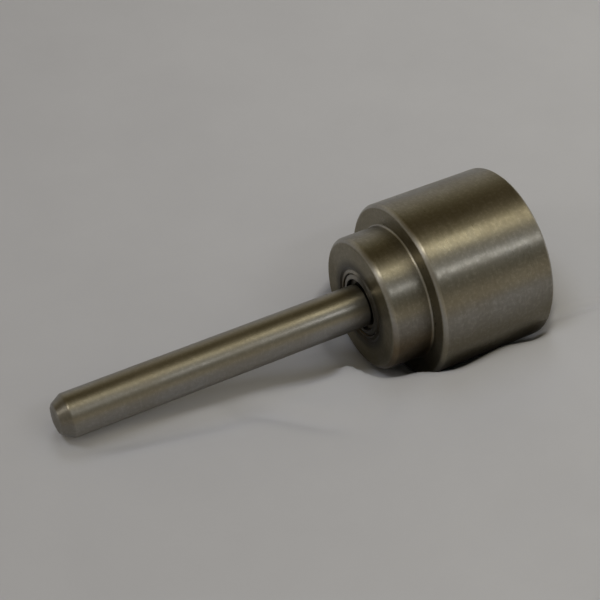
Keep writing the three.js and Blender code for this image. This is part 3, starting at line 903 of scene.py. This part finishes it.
def curve(knots, values, x):
    """A smooth curve through the knots, level beyond the first and the last."""
    knots, values = np.array(knots, float), np.array(values, float)
    slopes = np.gradient(values, knots)
    x = np.clip(x, knots[0], knots[-1])
    i = np.clip(np.searchsorted(knots, x) - 1, 0, len(knots) - 2)
    width = knots[i + 1] - knots[i]
    t = (x - knots[i]) / width
    h00, h10 = (1 + 2 * t) * (1 - t) ** 2, t * (1 - t) ** 2
    h01, h11 = t * t * (3 - 2 * t), t * t * (t - 1)
    return h00 * values[i] + h10 * width * slopes[i] + h01 * values[i + 1] + h11 * width * slopes[i + 1]


def cloth_height(x, y):
    """The cloth's height in millimetres: nearly level, with a hollow that holds the head."""
    level = curve(*zip(*CLOTH_LEVELS), x)
    far = smooth(FAR_FROM, FAR_TO, np.hypot(x - CLOTH_MIDDLE, y))
    level = level * (1 - far) + CLOTH_FAR_LEVEL * far
    for (x0, y0), (x1, y1), width, depth in FOLDS:
        length = math.hypot(x1 - x0, y1 - y0)
        u, v = (x1 - x0) / length, (y1 - y0) / length
        along = ((x - x0) * u + (y - y0) * v) / length
        across = (x - x0) * v - (y - y0) * u
        share = smooth(-0.12, 0.25, along) * (1 - smooth(0.7, 1.15, along))
        level = level - depth * share * np.exp(-((across / width) ** 2))
    x_hollow = [k[0] for k in HOLLOW]
    depth = curve(x_hollow, [k[1] for k in HOLLOW], x)
    width = curve(x_hollow, [k[2] for k in HOLLOW], x)
    seat, wall = math.sin(SEAT_ANGLE), math.cos(SEAT_ANGLE)
    full = seat + wall / math.tan(SEAT_ANGLE)
    across = np.abs(y) / width * full
    round_part = np.sqrt(np.clip(1 - across**2, 0.0, 1.0))
    straight_part = wall - (across - seat) * math.tan(SEAT_ANGLE)
    hollow = -depth * np.where(across < seat, round_part, straight_part)
    near = smooth(*LIP_START, x) * (1 - smooth(*LIP_END, x))
    beyond = np.maximum(np.abs(y) - LIP_FROM, 0.0) / LIP_WIDTH
    level = level + LIP_HEIGHT * near * np.exp(-(beyond**2))
    blend = np.maximum(HOLLOW_EDGE - np.abs(level - hollow), 0.0) / HOLLOW_EDGE
    return np.minimum(level, hollow) - blend * blend * HOLLOW_EDGE / 4


def spaced(fine_from, fine_to, step, growth, reach):
    """Coordinates that are close together near the object and wider apart further away."""
    middle = list(np.arange(fine_from, fine_to + step / 2, step))
    gap, high = step, middle[-1]
    low = middle[0]
    while gap * growth < reach and high < reach:
        gap *= growth
        high += gap
        low -= gap
        middle.append(high)
        middle.insert(0, low)
    return np.array(middle)


def cloth_material():
    material = bpy.data.materials.new("pale_cloth")
    material.use_nodes = True
    n = Nodes(material.node_tree)
    place = n.add("ShaderNodeTexCoord").outputs["Object"]
    mottle = n.noise(place, 45.0, detail=5.0, roughness=0.6)
    fibres = n.noise(place, 1300.0, detail=3.0, roughness=0.7)
    x, y, _ = n.split(place)
    across = n.plus(n.times(x, FADE_DIRECTION[0]), n.times(y, FADE_DIRECTION[1]))
    # painted light: the cloth darker to the left and brighter to the right
    tint = n.mix(n.map(across, FADE_FROM, FADE_TO, 0.0, 1.0), CLOTH_LEFT, CLOTH_RIGHT)
    color = n.mix(n.map(mottle, 0.3, 0.7, 0.0, 1.0), CLOTH_DARK, CLOTH_LIGHT)
    bsdf = n.add("ShaderNodeBsdfPrincipled")
    bsdf.inputs["Roughness"].default_value = 0.95
    bsdf.inputs["Specular IOR Level"].default_value = 0.1
    n.put(bsdf.inputs["Base Color"], n.mix(1.0, color, tint, "MULTIPLY"))
    n.put(bsdf.inputs["Normal"], n.bump(fibres, 0.3, 0.06 * MM))
    n.surface(bsdf)
    return material


def cloth_mesh():
    xs = spaced(-12.0, 128.0, 0.8, 1.09, CLOTH_REACH)
    ys = spaced(-22.0, 22.0, 0.45, 1.08, CLOTH_REACH)
    gx, gy = np.meshgrid(xs, ys, indexing="ij")
    spots = zip(gx.flat, gy.flat)
    swell = np.array([noise.noise(Vector((x * SWELL_SCALE, y * SWELL_SCALE, SWELL_LAYER))) for x, y in spots])
    beyond = np.maximum(np.abs(gx - CLOTH_MIDDLE) - CLOTH_HALF, 0)
    away = smooth(SWELL_FROM, SWELL_TO, np.hypot(beyond, gy))
    gz = cloth_height(gx, gy) + SWELL_HEIGHT * swell.reshape(gx.shape) * away
    verts = np.stack([gx, gy, gz], axis=-1).reshape(-1, 3) * MM
    rows, columns = gx.shape
    index = np.arange(rows * columns).reshape(rows, columns)
    corners = [index[:-1, :-1], index[1:, :-1], index[1:, 1:], index[:-1, 1:]]
    faces = np.stack(corners, axis=-1).reshape(-1, 4)
    mesh = bpy.data.meshes.new("cloth")
    mesh.from_pydata(verts.tolist(), [], faces.tolist())
    mesh.polygons.foreach_set("use_smooth", [True] * len(mesh.polygons))
    return mesh


def make_cloth():
    mesh = cloth_mesh()
    mesh.materials.append(cloth_material())
    cloth = bpy.data.objects.new("cloth", mesh)
    bpy.context.scene.collection.objects.link(cloth)


make_cloth()

# ------------------------------------------------------------------ studio

# What the room shows around the spin axis: degrees from straight up, positive towards the viewer's side,
# and the colour that it gives to steel.
ROOM = [
    (-90, (104, 101, 95)),
    (-74, (100, 96, 86)),
    (-62, (88, 83, 68)),
    (-52, (66, 60, 42)),
    (-42, (49, 42, 25)),
    (-26, (41, 34, 17)),
    (-16, (56, 49, 31)),
    (-4, (92, 85, 64)),
    (20, (98, 95, 86)),
    (34, (99, 99, 96)),
    (50, (76, 74, 66)),
    (61, (64, 61, 51)),
    (78, (100, 94, 80)),
    (90, (98, 92, 78)),
]
STEEL_REFLECTANCE = 0.3
ROOM_RIGHT = (112, 109, 103)  # past the head, where the bands meet
ROOM_LEFT = (58, 52, 40)  # past the shank's end
ROOM_END = (98, 95, 88)  # straight past the shank's end, where the bands meet again


def room_shade(color):
    """What the room has to send, as linear values, for steel to show this colour."""
    return tuple(c / STEEL_REFLECTANCE for c in linear(*color))


def make_room():
    world = bpy.data.worlds.new("room")
    bpy.context.scene.world = world
    world.use_nodes = True
    n = Nodes(world.node_tree)
    x, y, z = n.split(n.add("ShaderNodeTexCoord").outputs["Generated"])
    angle = n.math("ARCTAN2", n.times(y, -1.0), n.math("MAXIMUM", z, 0.0001))
    share = n.map(angle, -math.pi / 2, math.pi / 2, 0.0, 1.0)
    color = n.ramp(share, [((degrees + 90) / 180, room_shade(shown)) for degrees, shown in ROOM])
    color = n.mix(n.fade(x, 0.72, 0.93), color, room_shade(ROOM_RIGHT))
    left = n.times(n.fade(x, -0.42, -0.72), n.fade(z, 0.2, 0.32))
    color = n.mix(left, color, room_shade(ROOM_LEFT))
    color = n.mix(n.fade(x, -0.8, -0.92), color, room_shade(ROOM_END))
    background = n.add("ShaderNodeBackground")
    n.put(background.inputs["Color"], color)
    n.surface(background, "ShaderNodeOutputWorld")


make_room()

LAMP_AIM = Vector((0.05, 0, 0))  # metres


def area_light(
    name,
    direction,
    distance,
    size_across,
    size_along,
    radiance,
    color,
    glossy=True,
    diffuse=True,
):
    """A rectangular lamp that looks at the object; its power is what gives the stated radiance.

    direction points from the object to the lamp. The distance and the sizes are in metres, and size_along
    is the size along X."""
    data = bpy.data.lights.new(name, "AREA")
    data.shape = "RECTANGLE"
    data.size = size_along
    data.size_y = size_across
    data.energy = math.pi * size_across * size_along * radiance
    data.color = color
    lamp = bpy.data.objects.new(name, data)
    lamp.visible_glossy = glossy
    lamp.visible_diffuse = diffuse
    toward = Vector(direction).normalized()
    side = Vector((1, 0, 0)) - toward * toward.x
    side.normalize()
    lamp.matrix_world = matrix_from(side, toward.cross(side), toward, LAMP_AIM + toward * distance)
    bpy.context.scene.collection.objects.link(lamp)


def matrix_from(right, up, back, location):
    rows = [[right[i], up[i], back[i], location[i]] for i in range(3)]
    return Matrix([*rows, [0, 0, 0, 1]])


def around_axis(degrees, lean):
    """A direction that leans along +X by lean, at an angle from straight up towards the viewer's side."""
    across = math.sqrt(1 - lean * lean)
    a = math.radians(degrees)
    return lean, -across * math.sin(a), across * math.cos(a)


area_light("yellow_panel", around_axis(7.5, 0.5), 1.0, 0.25, 0.6, 1.5, (1.0, 0.9, 0.6), diffuse=False)
area_light("bulb", around_axis(3.0, -0.4), 1.0, 0.16, 0.2, 12.0, (1.0, 0.93, 0.75), diffuse=False)
area_light("front_lamp", around_axis(39.5, 0.42), 1.0, 0.08, 0.36, 3.9, (0.98, 0.98, 0.96))
area_light("left_window", (-0.85, 0.13, 0.47), 1.2, 0.34, 0.3, 1.9, (1.0, 0.97, 0.92))
area_light("ceiling", (-0.38, 0.1, 0.92), 0.75, 0.2, 0.2, 5.8, (0.84, 0.9, 1.0), glossy=False)
area_light("window", (0.2, 0.45, 0.87), 1.2, 0.42, 0.42, 2.6, (0.86, 0.91, 1.0), glossy=False)

# ------------------------------------------------------------------ camera

CAMERA_AZIMUTH = math.radians(-27.8896)
CAMERA_ELEVATION = math.radians(44.417)
CAMERA_LENS = 79.863
CAMERA_LOCATION = Vector((-31.185, -146.938, 169.808)) * MM

camera_data = bpy.data.cameras.new("camera")
camera_data.lens = CAMERA_LENS
camera_data.sensor_width = 36
camera_data.clip_start = 0.01
camera_data.clip_end = 20
camera = bpy.data.objects.new("camera", camera_data)
camera.rotation_euler = (math.pi / 2 - CAMERA_ELEVATION, 0, CAMERA_AZIMUTH)
camera.location = CAMERA_LOCATION
bpy.context.scene.collection.objects.link(camera)
bpy.context.scene.camera = camera
bpy.context.scene.view_settings.view_transform = "Standard"
